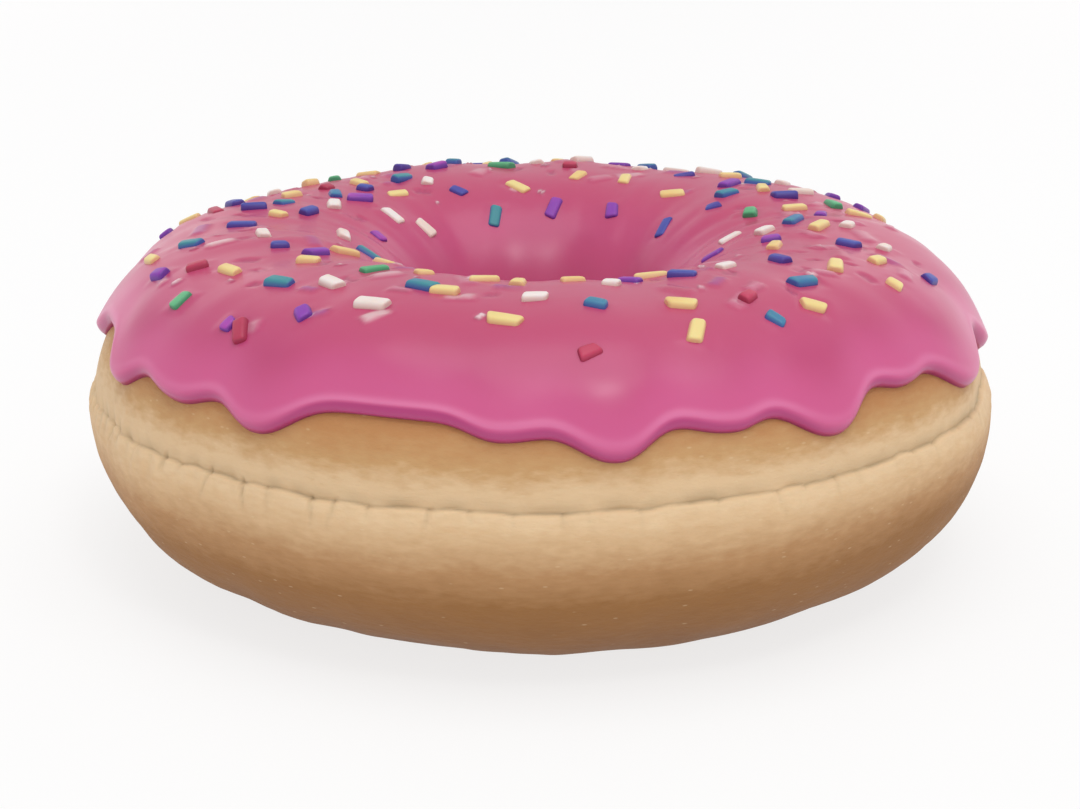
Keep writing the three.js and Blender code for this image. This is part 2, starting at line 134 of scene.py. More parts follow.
def swell_at(azimuth, angle):
    """The slow swells that the dough, and the icing on it, share."""
    return sum(size * np.sin(around * azimuth + section * angle + start)
               for around, section, size, start in SWELLS)


def angle_at_height(height, full_height, squareness):
    """The section angle at which an upper outline reaches a height above the ring's middle."""
    return np.arcsin((height / full_height) ** (squareness / 2))


def wander(places, grain, seed):
    """Smooth noise between about -1 and 1 at each place, over a grain of that size."""
    scaled = places / grain + seed
    return np.array([noise.noise(place) for place in scaled.tolist()])


def random_draws(seed):
    """A multiplicative random draw between 0 and 1, the same on every run."""
    state = seed
    while True:
        state = (state * 48271) % 2147483647
        yield state / 2147483647


def seam_height_at(azimuth):
    return SEAM_HEIGHT + SEAM_TILT * np.sin(azimuth)


def dough_point(azimuth, angle, lift=0.0):
    """Distance from the axis, and level, of the risen dough's surface."""
    upper = np.sin(angle) >= 0
    upper_across, upper_up = squared_off(angle, DOUGH_UPPER_SQUARENESS)
    lower_across, lower_up = squared_off(angle, DOUGH_LOWER_SQUARENESS)
    across = np.where(upper, upper_across, lower_across)
    height = np.where(upper, upper_up * DOUGH_UPPER_HEIGHT, lower_up * DOUGH_LOWER_HEIGHT)
    above_seam = height - seam_height_at(azimuth)
    upper_share = smooth_step(-2.2 * MM, 0.4 * MM, above_seam)
    outer_width = DOUGH_LOWER_WIDTH + (DOUGH_UPPER_WIDTH - DOUGH_LOWER_WIDTH) * upper_share
    width = np.where(across > 0, outer_width, DOUGH_HOLE_WIDTH)
    swell_share = smooth_step(-RING_LIFT, SWELL_FADE - RING_LIFT, height)
    swell = swell_at(azimuth, angle) * swell_share + lift
    radius = RING_RADIUS + across * width + np.cos(angle) * swell
    level = TABLE_LEVEL + RING_LIFT + np.maximum(height, -RING_LIFT) + np.sin(angle) * swell
    return radius, level


def rolled_ring(section_points, around_points):
    """A closed ring mesh: a flat grid, rolled into a tube that is bent round the hole's axis."""
    shape = bmesh.new()
    bmesh.ops.create_grid(shape, x_segments=around_points, y_segments=section_points, size=0.5)
    for point in shape.verts:
        azimuth = FULL_TURN * point.co.x
        turn = FULL_TURN * point.co.y
        radius = RING_RADIUS * (1 + 0.5 * math.cos(turn))
        point.co = (radius * math.sin(azimuth), -radius * math.cos(azimuth),
                    RING_RADIUS * 0.5 * math.sin(turn))
    bmesh.ops.remove_doubles(shape, verts=shape.verts[:], dist=0.001 * MM)
    bmesh.ops.recalc_face_normals(shape, faces=shape.faces[:])
    mesh = bpy.data.meshes.new("ring")
    shape.to_mesh(mesh)
    shape.free()
    return mesh


def ring_angles(mesh):
    """The azimuth and the turn round the section of every point of a newly rolled ring."""
    places = np.empty(len(mesh.vertices) * 3)
    mesh.vertices.foreach_get("co", places)
    x, y, z = places.reshape(-1, 3).T
    return np.arctan2(x, -y), np.arctan2(z, np.hypot(x, y) - RING_RADIUS) % FULL_TURN


def ring_places(azimuth, radius, level):
    """Points at a distance from the axis and at a level."""
    return np.stack((radius * np.sin(azimuth), -radius * np.cos(azimuth), level + 0 * azimuth), axis=1)


def place_ring(mesh, azimuth, radius, level):
    """Moves every point of a ring to its distance from the axis and its level."""
    mesh.vertices.foreach_set("co", ring_places(azimuth, radius, level).ravel())
    mesh.update()


def turned_away(azimuth, centre):
    """How far round the ring each azimuth lies from another, from half a turn back to half on."""
    return (azimuth - centre + math.pi) % FULL_TURN - math.pi


def seam_joints():
    """The azimuths, all round the ring, at which the pinched seam's scallops meet."""
    draw = random_draws(PLEAT_SEED)
    return [FULL_TURN * ((index + 0.7 * next(draw)) / PLEAT_COUNT - 0.5) for index in range(PLEAT_COUNT)]


def scallops_at(azimuth, joints):
    """How far the seam arches up between its joints."""
    draw = random_draws(PLEAT_SEED + 1)
    starts = np.array([joints[-1] - FULL_TURN] + joints)
    ends = np.array(joints + [joints[0] + FULL_TURN])
    rises = np.array([0.25 + 0.75 * next(draw) for _ in joints])
    rises = np.append(rises[-1], rises)
    index = np.searchsorted(starts, azimuth, side="right") - 1
    part = (azimuth - starts[index]) / (ends[index] - starts[index])
    return SEAM_SCALLOP_RISE * rises[index] * np.sqrt(np.clip(4 * part * (1 - part), 0, 1))


def pleats_at(azimuth, above, joints):
    """The short upright folds that run from the seam's joints, thickest at the front's left: how
    deep each is creased, and how far its edge swells beside the crease."""
    draw = random_draws(PLEAT_SEED + 2)
    creases = np.zeros_like(azimuth)
    swells = np.zeros_like(azimuth)
    for centre in joints:
        at_left = math.exp(-(float(turned_away(centre, PLEATED_SIDE)) / PLEATED_REACH) ** 2)
        strength = (0.10 + 0.65 * next(draw) ** 1.5) * (0.35 + at_left)
        down = (0.9 + 1.5 * next(draw)) * MM
        up = (0.25 + 1.1 * at_left * next(draw) ** 2) * MM
        lean = 0.6 * (next(draw) - 0.5)
        across = turned_away(azimuth, centre) * (RING_RADIUS + DOUGH_LOWER_WIDTH) + lean * above
        lengthwise = smooth_step(-1.5 * down, -0.3 * down, above) * smooth_step(up, 0.2 * up, above)
        creases += strength * np.exp(-(across / PLEAT_WIDTH) ** 2) * lengthwise
        beside = (across - 2.6 * PLEAT_WIDTH) / (2 * PLEAT_WIDTH)
        swells += strength * np.exp(-beside ** 2) * lengthwise
    return creases, swells


def keep_values(mesh, name, values):
    """Keeps one number for each point, for the piece's material to read."""
    kept = mesh.attributes.new(name, "FLOAT", "POINT")
    kept.data.foreach_set("value", values.astype(np.float32))


def finished_piece(name, mesh, material, body="root"):
    """A smooth-shaded object at the origin, that rides on its body."""
    mesh.name = name
    mesh.shade_smooth()
    piece = bpy.data.objects.new(name, mesh)
    bpy.context.scene.collection.objects.link(piece)
    mesh.materials.append(material)
    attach(piece, body)
    return piece


def linear(hex_colour):
    """An sRGB hex colour as linear RGBA."""
    channels = [int(hex_colour[i:i + 2], 16) / 255 for i in (1, 3, 5)]
    return [c / 12.92 if c <= 0.04045 else ((c + 0.055) / 1.055) ** 2.4 for c in channels] + [1.0]


def new_material(name):
    """An empty node material with its Principled shader already on the output."""
    material = bpy.data.materials.new(name)
    material.use_nodes = True
    tree = material.node_tree
    tree.nodes.clear()
    output = tree.nodes.new("ShaderNodeOutputMaterial")
    shader = tree.nodes.new("ShaderNodeBsdfPrincipled")
    tree.links.new(shader.outputs["BSDF"], output.inputs["Surface"])
    return material, tree, shader


def add_node(tree, kind, settings=None, **inputs):
    """A node with its settings, and its inputs set to values or linked from outputs. An input that
    goes by its number is given as an underscore and the number."""
    node = tree.nodes.new(kind)
    for setting, value in (settings or {}).items():
        setattr(node, setting, value)
    for socket_name, value in inputs.items():
        socket = node.inputs[int(socket_name[1:])] if socket_name[0] == "_" else node.inputs[socket_name]
        if isinstance(value, bpy.types.NodeSocket):
            tree.links.new(value, socket)
        else:
            socket.default_value = value
    return node


def set_ramp(ramp_node, stops):
    """Fills a colour ramp with (place, hex colour) stops."""
    ramp = ramp_node.color_ramp
    while len(ramp.elements) > 1:
        ramp.elements.remove(ramp.elements[-1])
    for index, (place, colour) in enumerate(stops):
        element = ramp.elements[0] if index == 0 else ramp.elements.new(place)
        element.position = place
        element.color = linear(colour)


def baked_crust():
    """Baked wheat crust: matt, golden brown where the heat struck, pale and floury at the seam. Its
    creases carry painted shade, and its lowest brown is partly painted shade.
    """
    material, tree, shader = new_material("baked_wheat_crust")
    height = add_node(tree, "ShaderNodeAttribute", {"attribute_name": "above_seam"}).outputs["Fac"]
    crease_shade = add_node(tree, "ShaderNodeAttribute", {"attribute_name": "crease_shade"}).outputs["Fac"]
    coords = add_node(tree, "ShaderNodeTexCoord").outputs["Object"]
    streaked = add_node(tree, "ShaderNodeMapping", Vector=coords,
                        Scale=(1, 1, CRUST_STREAKING)).outputs["Vector"]
    blotches = add_node(tree, "ShaderNodeTexNoise", Vector=streaked, Scale=1 / CRUST_BLOTCH_WIDTH,
                        Detail=5.0, Roughness=0.62).outputs["Fac"]
    centred = add_node(tree, "ShaderNodeMath", {"operation": "SUBTRACT"}, _0=blotches, _1=0.5)
    drift = add_node(tree, "ShaderNodeMath", {"operation": "MULTIPLY_ADD"}, _0=centred.outputs[0],
                     _1=2.6, _2=height)
    mottles = add_node(tree, "ShaderNodeTexNoise", Vector=streaked, Scale=1 / CRUST_MOTTLE_WIDTH,
                       Detail=3.0).outputs["Fac"]
    mottled = add_node(tree, "ShaderNodeMath", {"operation": "MULTIPLY_ADD"}, _0=mottles, _1=2.4,
                       _2=drift.outputs[0])
    settled = add_node(tree, "ShaderNodeMath", {"operation": "SUBTRACT"}, _0=mottled.outputs[0], _1=1.2)
    browning = add_node(tree, "ShaderNodeMapRange", Value=settled.outputs[0], _1=CRUST_LOWEST,
                        _2=CRUST_HIGHEST)
    ramp = add_node(tree, "ShaderNodeValToRGB", Fac=browning.outputs["Result"])
    set_ramp(ramp, CRUST_BROWNING_AND_SHADE)
    dashes = add_node(tree, "ShaderNodeTexVoronoi", Vector=streaked,
                      Scale=1 / CRUST_FLECK_SPACING).outputs["Distance"]
    fleck = add_node(tree, "ShaderNodeMapRange", Value=dashes, _1=0.11, _2=0.05, _4=0.28)
    flecked = add_node(tree, "ShaderNodeMix", {"data_type": "RGBA"}, Factor=fleck.outputs["Result"],
                       _6=ramp.outputs["Color"], _7=linear(CRUST_FLECK))
    # Painted shade in the creases.
    crease_shaded = add_node(tree, "ShaderNodeMix", {"data_type": "RGBA"}, Factor=crease_shade,
                       _6=flecked.outputs[2], _7=linear(CRUST_CREASE_SHADE))
    tree.links.new(crease_shaded.outputs[2], shader.inputs["Base Color"])
    grain = add_node(tree, "ShaderNodeTexNoise", Vector=streaked, Scale=1 / CRUST_GRAIN_WIDTH,
                     Detail=5.0, Roughness=0.62).outputs["Fac"]
    pits = add_node(tree, "ShaderNodeTexVoronoi", Vector=coords,
                    Scale=1 / CRUST_PIT_SPACING).outputs["Distance"]
    relief = add_node(tree, "ShaderNodeMath", {"operation": "MULTIPLY_ADD"}, _0=pits, _1=0.3, _2=grain)
    bump = add_node(tree, "ShaderNodeBump", Strength=0.5, Distance=0.3 * MM, Height=relief.outputs[0])
    tree.links.new(bump.outputs["Normal"], shader.inputs["Normal"])
    shader.inputs["Roughness"].default_value = 0.66
    shader.inputs["Specular IOR Level"].default_value = 0.25
    shader.inputs["Subsurface Weight"].default_value = 0.06
    shader.inputs["Subsurface Radius"].default_value = (1.0, 0.5, 0.25)
    shader.inputs["Subsurface Scale"].default_value = 0.8 * MM
    return material


dough_mesh = rolled_ring(DOUGH_SECTION, DOUGH_AROUND)
azimuth, turn = ring_angles(dough_mesh)
seam_angle = angle_at_height(seam_height_at(azimuth), DOUGH_UPPER_HEIGHT, DOUGH_UPPER_SQUARENESS)
angle = seam_angle + turn - DOUGH_CROWDING * np.sin(turn)
radius, level = dough_point(azimuth, angle)

# The baked surface's own relief: the seam's crease over its ledge, pleats under it, lumps low down,
# and slight waves all over.
places = ring_places(azimuth, radius, level)
waist = ring_places(azimuth, RING_RADIUS + DOUGH_LOWER_WIDTH, 0)
height = level - RING_LIFT - TABLE_LEVEL
joints = seam_joints()
seam_wander = SEAM_DRIFT * wander(waist, 5.5 * MM, 1.7) + SEAM_JITTER * wander(waist, 1.6 * MM, 8.2)
seam_wander += scallops_at(azimuth, joints)
above = height - seam_height_at(azimuth) - seam_wander
outside = smooth_step(-0.2, 0.3, np.cos(angle))
faded = turned_away(azimuth, math.radians(SEAM_FADE_AZIMUTH)) / math.radians(SEAM_FADE_REACH)
seam_share = 1 - 0.75 * np.exp(-faded ** 2)
overhang = np.exp(-np.maximum(above, 0) / SEAM_UPPER_REACH)
ledge = np.exp(-(np.minimum(above, 0) / SEAM_LEDGE_REACH) ** 2)
groove = overhang * ledge * (0.75 + 0.5 * wander(waist, 2.8 * MM, 10.8))
ledge_swell = smooth_step(-3.2 * MM, -0.5 * MM, above) * smooth_step(0, -0.2 * MM, above)
pleats, pleat_swells = pleats_at(azimuth, above, joints)
upright = waist + np.stack((0 * above, 0 * above, 0.3 * above), axis=1)
puckers = wander(upright, 1.5 * MM, 3.3) * np.exp(-(np.abs(above + 0.4 * MM) / (2.4 * MM)) ** 2)
pucker_share = 0.4 + 0.6 * np.exp(-(turned_away(azimuth, PLEATED_SIDE) / PLEATED_REACH) ** 2)
low_share = smooth_step(-4 * MM, -12 * MM, height) * smooth_step(-RING_LIFT, -14.6 * MM, height)
lumps = np.minimum(wander(places, 7.5 * MM, 5.9), 0.15)
waves = WAVE_HEIGHT * wander(places, 7 * MM, 2.4) + RIPPLE_HEIGHT * wander(places, 2.4 * MM, 6.6)
# Where the seam's line fades, at the left, the dough is pinched into short upright ribs instead.
around_waist = azimuth * (RING_RADIUS + DOUGH_LOWER_WIDTH) + 0.5 * above
rib_phase = FULL_TURN * around_waist / SEAM_RIB_SPACING + 2.5 * wander(waist, 5 * MM, 9.4)
rib_share = np.exp(-faded ** 2) * np.exp(-((above + 0.3 * MM) / (1.3 * MM)) ** 2)
ribs = np.cos(rib_phase) * rib_share
relief = seam_share * (SEAM_LEDGE_SWELL * ledge_swell - SEAM_DEPTH * groove) + SEAM_RIB_HEIGHT * ribs
relief += PLEAT_DEPTH * (0.5 * pleat_swells - pleats)
relief = outside * (relief + PUCKER_HEIGHT * pucker_share * puckers)
relief += LUMP_HEIGHT * low_share * lumps + waves * smooth_step(-RING_LIFT, -15.2 * MM, height)
radius += np.cos(angle) * relief
level += np.sin(angle) * relief
place_ring(dough_mesh, azimuth, radius, level)
# Painted shade: the crease colour darkens the seam's groove line, a band above it, the pleats' creases
# and the hollows between the ribs.
seam_line_shade = np.exp(-((above - 0.06 * MM) / (0.12 * MM)) ** 2)
seam_shade = smooth_step(1.6 * MM, 0.1 * MM, above) * smooth_step(-0.2 * MM, 0, above)
seam_shade *= 0.5 + 0.6 * wander(upright, 2.2 * MM, 12.6)
crease_shade = seam_share * (0.2 * seam_line_shade + 0.4 * seam_shade) + 0.3 * pleats + 0.22 * np.maximum(-ribs, 0)
crease_shade *= outside
# The right side is painted browner closer to the seam, as painted shade where the lights fall stronger
# there, and the left side is paler above the seam.
browner_shade = BROWNER_SHADE_SHARE * np.exp(-(turned_away(azimuth, BROWNER_SHADE_SIDE) / BROWNER_SHADE_REACH) ** 2)
browner_shade *= smooth_step(-11 * MM, -7 * MM, above)
paler = PALER_SHARE * np.exp(-(turned_away(azimuth, PALER_SIDE) / PALER_REACH) ** 2) * (above > 0)
keep_values(dough_mesh, "above_seam", above / MM * (1 + browner_shade - paler))
keep_values(dough_mesh, "crease_shade", np.clip(crease_shade, 0, 1))

dough = finished_piece("dough_ring_baked", dough_mesh, baked_crust())
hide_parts("dough_ring")

# ------------------------------------------------------------------------------------------------
# Pink icing.
# Fondant icing, poured warm over the ring, where it set with a smooth half-gloss skin. It ran down in
# drips with a rounded lip, and swallowed some sprinkles, which swell its skin and show through. The
# rolled ring is flattened to a closed band: most points are the skin, the rest lie along the dough.
ICING_WIDTH = 19.2 * MM
ICING_HOLE_WIDTH = 17.76 * MM
ICING_HEIGHT = 17.57 * MM
ICING_OUTER_SQUARENESS = 2.42
ICING_HOLE_SQUARENESS = 2.2
ICING_GAP = 0.02 * MM
ICING_AROUND = 760
ICING_SECTION = 190
OUTER_SKIN_SHARE = 0.78
SKIN_CROWDING = 0.075
LIP_WIDTH = 1.0 * MM
LIP_SQUARENESS = 2.5
LIP_ROUNDING = 0.8
LIP_DRIP_SOFTENING = 0.25 / MM
LIP_SIDE_SOFTENING = 0.5
LIP_TUCK_SHARE = 0.6
LIP_TUCK_REACH = 6 * MM
LIP_BEAD = 0.5 * MM
LIP_BEAD_REACH = 3.2 * MM
LIP_RIDGE = 0.12 * MM
LIP_RIDGE_PLACE = 1.35 * MM
RIM_THINNING = 0.5 * MM
RIM_FRONT_THINNING = 0.8 * MM
RIM_THINNING_REACH = 4 * MM
DRIP_FILLING = 0.2 / MM
DRIP_RIDGE = 0.06
DRIP_RIDGE_PLACE = 9 * MM
DRIP_RIDGE_REACH = 6 * MM
DRIP_ROUNDNESS = 2.25
EDGE_HEIGHT = 9.2 * MM

# Each drip's azimuth and drop, and its reach to the left and to the right, in degrees and
# millimetres. Most of these rows were fitted by another program, and are not chosen by hand.
FRONT_DRIPS = (
    (-86, 1.1, 5.0, 5.0), (-63.4, 3.2, 4.3, 5.6), (-48.4, 2.1, 7.6, 6.2), (-34.3, 2.7, 5.6, 6.0),
    (-4.3, 1.35, 4.6, 5.9), (8.4, 3.0, 5.7, 4.9), (22.2, 1.4, 6.3, 4.2), (35.6, 3.1, 6.4, 5.0),
    (49.1, 0.9, 3.9, 3.7), (64.8, 3.8, 8.1, 7.2), (85, 4.3, 6.6, 6.0),
)
BACK_DRIP_START = 101
BACK_DRIP_END = 276
BACK_DRIP_COUNT = 11
BACK_DRIP_SEED = 4711
HOLE_EDGE_HEIGHT = 2.2 * MM
HOLE_EDGE_WAVES = ((3, 0.7 * MM, 0.4), (7, 0.6 * MM, 2.2), (11, 0.4 * MM, 5.1))
SPRINKLE_OUTER_RADIUS = 42.2
SPRINKLE_CROWDED_RADIUS = 34
SPRINKLE_CROWDED_REACH = 5
SPRINKLE_BACKGROUND = 0.55
SPRINKLE_FADE_RADIUS = 37.5
BURIED_COUNT = 60
BURIED_SEED = 8086
CRUMB_COUNT = 44
CRUMB_SEED = 1999
DENT_COUNT = 46
DENT_SEED = 5077
DENT_DEPTH = 0.2 * MM
BURIED_SIZES = (0.7, 1.2)
CRUMB_SIZES = (0.22, 0.42)
DENT_SIZES = (0.45, 0.75)
BURIED_INNER_RADIUS = 21
BURIED_SPACING = 3.2 * MM
BURIED_SWELL = 0.24 * MM
BURIED_HALF_WIDTH = 0.85 * MM
BURIED_HALF_LENGTH = 1.5 * MM
BURIED_TINTS = (
    ("#dfa3b2", 0.6), ("#e6c3c8", 0.6), ("#d68fa6", 0.6), ("#8f5aa4", 0.45), ("#ead2d2", 0.7),
    ("#d79aab", 0.5), ("#a35a9c", 0.4), ("#bd4468", 0.5),
)
CRUMB_TINTS = (("#efd9dc", 0.9), ("#e6c0ca", 0.8))
# The dents' darker tints are painted shade.
DENT_SHADE_TINTS = (("#a9456f", 0.5), ("#b45a7c", 0.4))
FLOW_HEIGHT = 0.15 * MM
FOLD_HEIGHT = 0.24 * MM
FONDANT_COLOURS = ((0.3, "#c24778"), (0.7, "#cb4e7f"))
# Painted sheen: the crest is painted a warmer, duller pink, standing in for the sheen on the top.
FONDANT_CREST_SHEEN = "#c64a72"
# Painted light: the lower slope is painted brighter, as fill light where it turns away from the lamps.
FONDANT_LOW_SLOPE_LIGHT = "#d65c91"
# Painted highlight: a paler line along the lip's ridge, where the light glints.
FONDANT_EDGE_HIGHLIGHT = "#e37caa"
# Painted shade: the lip's lowest band, which faces down and away from the lights.
FONDANT_RIM_SHADE = "#b83f7c"
FONDANT_CLOUD_WIDTH = 14.29 * MM
FONDANT_RIPPLE_WIDTH = 3.846 * MM

SPRINKLE_SHORTEST = 1.6 * MM
SPRINKLE_LONGEST = 3.3 * MM
SPRINKLE_RADIUS = 0.9 * MM
SPRINKLE_CORNER = 50
SPRINKLE_COUNT = 132
SPRINKLE_SPACING = 3.1 * MM
SPRINKLE_INNER_RADIUS = 15.8
SPRINKLE_SLOPE_PROUD = -0.05 * MM
SPRINKLE_WALL_PROUD = -0.35 * MM
SPRINKLE_LIP_PROUD = -0.2 * MM
SPRINKLE_CREST_PROUD = -0.12 * MM
SPRINKLE_PROUD = 0.02 * MM
SPRINKLE_SINKING = 0.36 * MM
SPRINKLE_TILT = 7
SPRINKLE_ROLL = 16
SPRINKLE_SEED = 90210

# These two seeds are no free choice: they were searched for, so that the laid rods come out as long
# as wanted.
LAID_LENGTH_SEED = 23205
CREST_LENGTH_SEED = 163839

SPRINKLE_COLOUR_SEED = 1234
SPRINKLE_NEARNESS = 5.5 * MM

# The sprinkles are laid one by one on the front slope, the wall of the hole, its near lip and the
# front half of the crest. Each has its azimuth, its distance from the axis, its turn from level and
# its colour. Another program worked out most of the places and turns, and no rule here makes them.
LAID_AZIMUTH = 100
LAID_RADIUS = 25
SLOPE_SPRINKLES = (
    (-80.5, 40.7, 20, "yellow"), (-70.5, 40.5, 30, "purple"), (-66, 37.4, 70, "red"),
    (-59, 35.6, 8, "yellow"), (-58, 41.2, 100, "green"), (-45, 35, 12, "teal"),
    (-44.5, 41.6, 85, "purple"), (-41.8, 41.9, -50, "red"), (-36.3, 33.2, -15, "cream"),
    (-34, 38.9, -40, "purple"), (-25, 36.3, 3, "cream"), (-20.5, 31.1, -12, "teal"),
    (-16.2, 31.6, 2, "yellow"), (-5, 36.9, -12, "yellow"), (-0.8, 32.2, 6, "cream"),
    (6, 41.2, 25, "red"), (8.6, 34.3, -30, "teal"), (21, 39.4, 60, "yellow"),
    (22, 34.8, -22, "yellow"), (33, 35.5, 25, "red"), (33.3, 39.4, -65, "teal"),
    (41, 38.9, -40, "yellow"), (45.5, 35.2, -12, "teal"), (57, 34.5, 25, "yellow"),
    (60, 39.8, 90, "yellow"), (68, 36.5, -15, "yellow"), (72.3, 41.4, -15, "navy"),
)
WALL_SPRINKLES = (
    (-138.5, 24.5, -9, "yellow"), (-155, 22.3, -58, "navy"), (-173.5, 22.6, -49, "yellow"),
    (170, 25.5, 72, "yellow"), (157.5, 25.8, -78, "yellow"), (139.8, 23.4, 30, "yellow"),
    (119.3, 22.2, 62, "navy"), (-163.2, 17.8, 70, "teal"), (175.3, 18.7, 76, "purple"),
    (154, 18.8, -72, "purple"), (129, 17.8, -69, "navy"), (-125.5, 20.1, 87, "cream"),
    (-134, 17.7, -77, "cream"), (-107.5, 18.4, 83, "purple"), (91.5, 20.2, -70, "cream"),
    (82, 18.2, 79, "purple"), (164.2, 35.3, -12, "purple"),
)
LIP_SPRINKLES = (
    (-78.5, 18.4, 70, "teal"), (-48, 21, -10, "yellow"), (-36, 27.2, 78, "green"),
    (-26, 25.5, 42, "yellow"), (-12, 25.5, 28, "yellow"), (-4.5, 26.5, 85, "yellow"),
    (7, 25.2, 18, "yellow"), (14.3, 27.3, -24, "cream"), (20, 25.2, -50, "purple"),
    (27, 23.6, -20, "yellow"), (31, 26.6, -47, "navy"), (41.5, 27.3, 5, "cream"),
)
CREST_SPRINKLES = (
    (-110.2, 36.4, 52, "navy"), (-105, 40.1, 80, "yellow"), (-101.2, 41.9, -84, "purple"),
    (-79, 36.7, 53, "teal"), (-89.2, 31.6, 81, "navy"), (-77.5, 29.3, 2, "cream"),
    (-68.2, 28.5, 81, "navy"), (-98, 28.6, 62, "yellow"), (-124, 37.1, 50, "cream"),
    (-117.8, 31.8, -26, "yellow"), (-53, 28.6, 41, "yellow"),
    (-61.3, 25.6, -73, "purple"), (-66.5, 21.7, -70, "yellow"), (-90, 20.9, 10, "cream"),
    (-123.2, 27.6, 43, "teal"), (-114.2, 25, 30, "cream"), (-138.5, 36.8, 55, "green"),
    (-136.2, 30.3, 84, "yellow"), (-125, 24.7, -41, "purple"), (139, 34.1, 59, "yellow"),
    (131.5, 29, -74, "purple"), (122.2, 29.8, -31, "yellow"), (117.5, 33.2, 86, "cream"),
    (105.8, 29, 90, "yellow"), (106.8, 24, -25, "green"), (108.8, 34.5, -2, "green"),
    (118.7, 38.1, -20, "purple"), (113, 39.6, -55, "purple"), (108.8, 40.4, -42, "yellow"),
    (92.8, 27.1, -32, "teal"), (86, 23.7, -44, "cream"), (86.8, 29.5, -27, "yellow"),
    (88.8, 32.6, -23, "cream"), (75.2, 32.7, 77, "navy"), (67.8, 25.8, 6, "yellow"),
    (54, 29.2, 72, "navy"), (77, 24.6, -77, "purple"), (78.2, 36.4, -18, "cream"),
    (128.8, 36.2, -68, "cream"),
)

# Each sugar's two tones on top, its tone at the sides, darker as painted shade and in some colours
# shifted in hue, and how often it turns up.
SUGAR_COLOURS = {
    "yellow": (("#f2dc94", "#f0cf88", "#e6b888"), 40),
    "purple": (("#8f40b2", "#b048b2", "#70389f"), 17),
    "cream": (("#f4eae6", "#f0dcd0", "#e2c4bc"), 20),
    "teal": (("#42929c", "#4480ac", "#445ca6"), 12),
    "navy": (("#4a54ac", "#4e3e9e", "#503490"), 13),
    "green": (("#68bc88", "#58b07a", "#48946a"), 7),
    "red": (("#c83f62", "#ba3a5a", "#a83052"), 5),
}


def all_drips():
    """The drips at the front, and those of the same habit round the back."""
    draw = random_draws(BACK_DRIP_SEED)
    step = (BACK_DRIP_END - BACK_DRIP_START) / (BACK_DRIP_COUNT - 1)
    drips = list(FRONT_DRIPS)
    for index in range(BACK_DRIP_COUNT):
        centre = BACK_DRIP_START + (index + 0.5 * (next(draw) - 0.5)) * step
        drips.append((centre, 1.0 + 2.4 * next(draw), 4.5 + 3 * next(draw), 4.5 + 3 * next(draw)))
    return drips


DRIPS = all_drips()


def drip_drop_at(azimuth):
    """How far the icing's outer edge hangs below its mean line."""
    total = np.zeros_like(azimuth)
    for centre, drop, left_reach, right_reach in DRIPS:
        away = (np.degrees(azimuth) - centre + 540) % 360 - 180
        reach = np.where(away < 0, left_reach, right_reach)
        total += drop * MM * np.exp(-np.abs(away / reach) ** DRIP_ROUNDNESS)
    return total


def icing_point(azimuth, angle):
    """The icing's full outer surface, away from its rims."""
    outer = np.cos(angle) > 0
    across, up = squared_off(angle, np.where(outer, ICING_OUTER_SQUARENESS, ICING_HOLE_SQUARENESS))
    width = np.where(outer, ICING_WIDTH, ICING_HOLE_WIDTH)
    swell = swell_at(azimuth, angle)
    radius = RING_RADIUS + across * width + np.cos(angle) * swell
    level = TABLE_LEVEL + RING_LIFT + up * ICING_HEIGHT + np.sin(angle) * swell
    return radius, level


def icing_angle_at_radius(radius):
    """The icing's section angle at a distance from the axis."""
    offset = radius - RING_RADIUS
    width = ICING_WIDTH if offset > 0 else ICING_HOLE_WIDTH
    squareness = ICING_OUTER_SQUARENESS if offset > 0 else ICING_HOLE_SQUARENESS
    return math.acos(math.copysign((abs(offset) / width) ** (squareness / 2), offset))


def ring_place(azimuth, radius, level):
    return Vector((radius * math.sin(azimuth), -radius * math.cos(azimuth), level))


def icing_place(azimuth, angle):
    radius, level = icing_point(azimuth, angle)
    return ring_place(azimuth, float(radius), float(level))


def sprinkle_density(radius):
    """How crowded the sprinkles lie at a distance from the axis in millimetres, from 0 to 1."""
    crowd = math.exp(-((radius - SPRINKLE_CROWDED_RADIUS) / SPRINKLE_CROWDED_REACH) ** 2)
    fade = 1 - float(smooth_step(SPRINKLE_FADE_RADIUS, SPRINKLE_OUTER_RADIUS + 1, radius))
    growth = radius / SPRINKLE_OUTER_RADIUS
    return (SPRINKLE_BACKGROUND + (1 - SPRINKLE_BACKGROUND) * crowd) * fade * growth


def sprinkle_matrix(azimuth, angle, turn, tilt, roll, proud):
    """The place of a rod on the icing: its length along Z, turned from level within the surface."""
    centre = icing_place(azimuth, angle)
    level = Vector((math.cos(azimuth), math.sin(azimuth), 0))
    uphill = (icing_place(azimuth, angle + 0.01) - centre).normalized()
    outward = level.cross(uphill).normalized()
    along = (level * math.cos(turn) + uphill * math.sin(turn) + outward * math.tan(tilt)).normalized()
    side = outward.cross(along).normalized()
    outward = along.cross(side)
    axes = Matrix((side, outward, along)).transposed().to_4x4()
    return Matrix.Translation(centre + outward * proud) @ axes @ Matrix.Rotation(roll, 4, "Z")


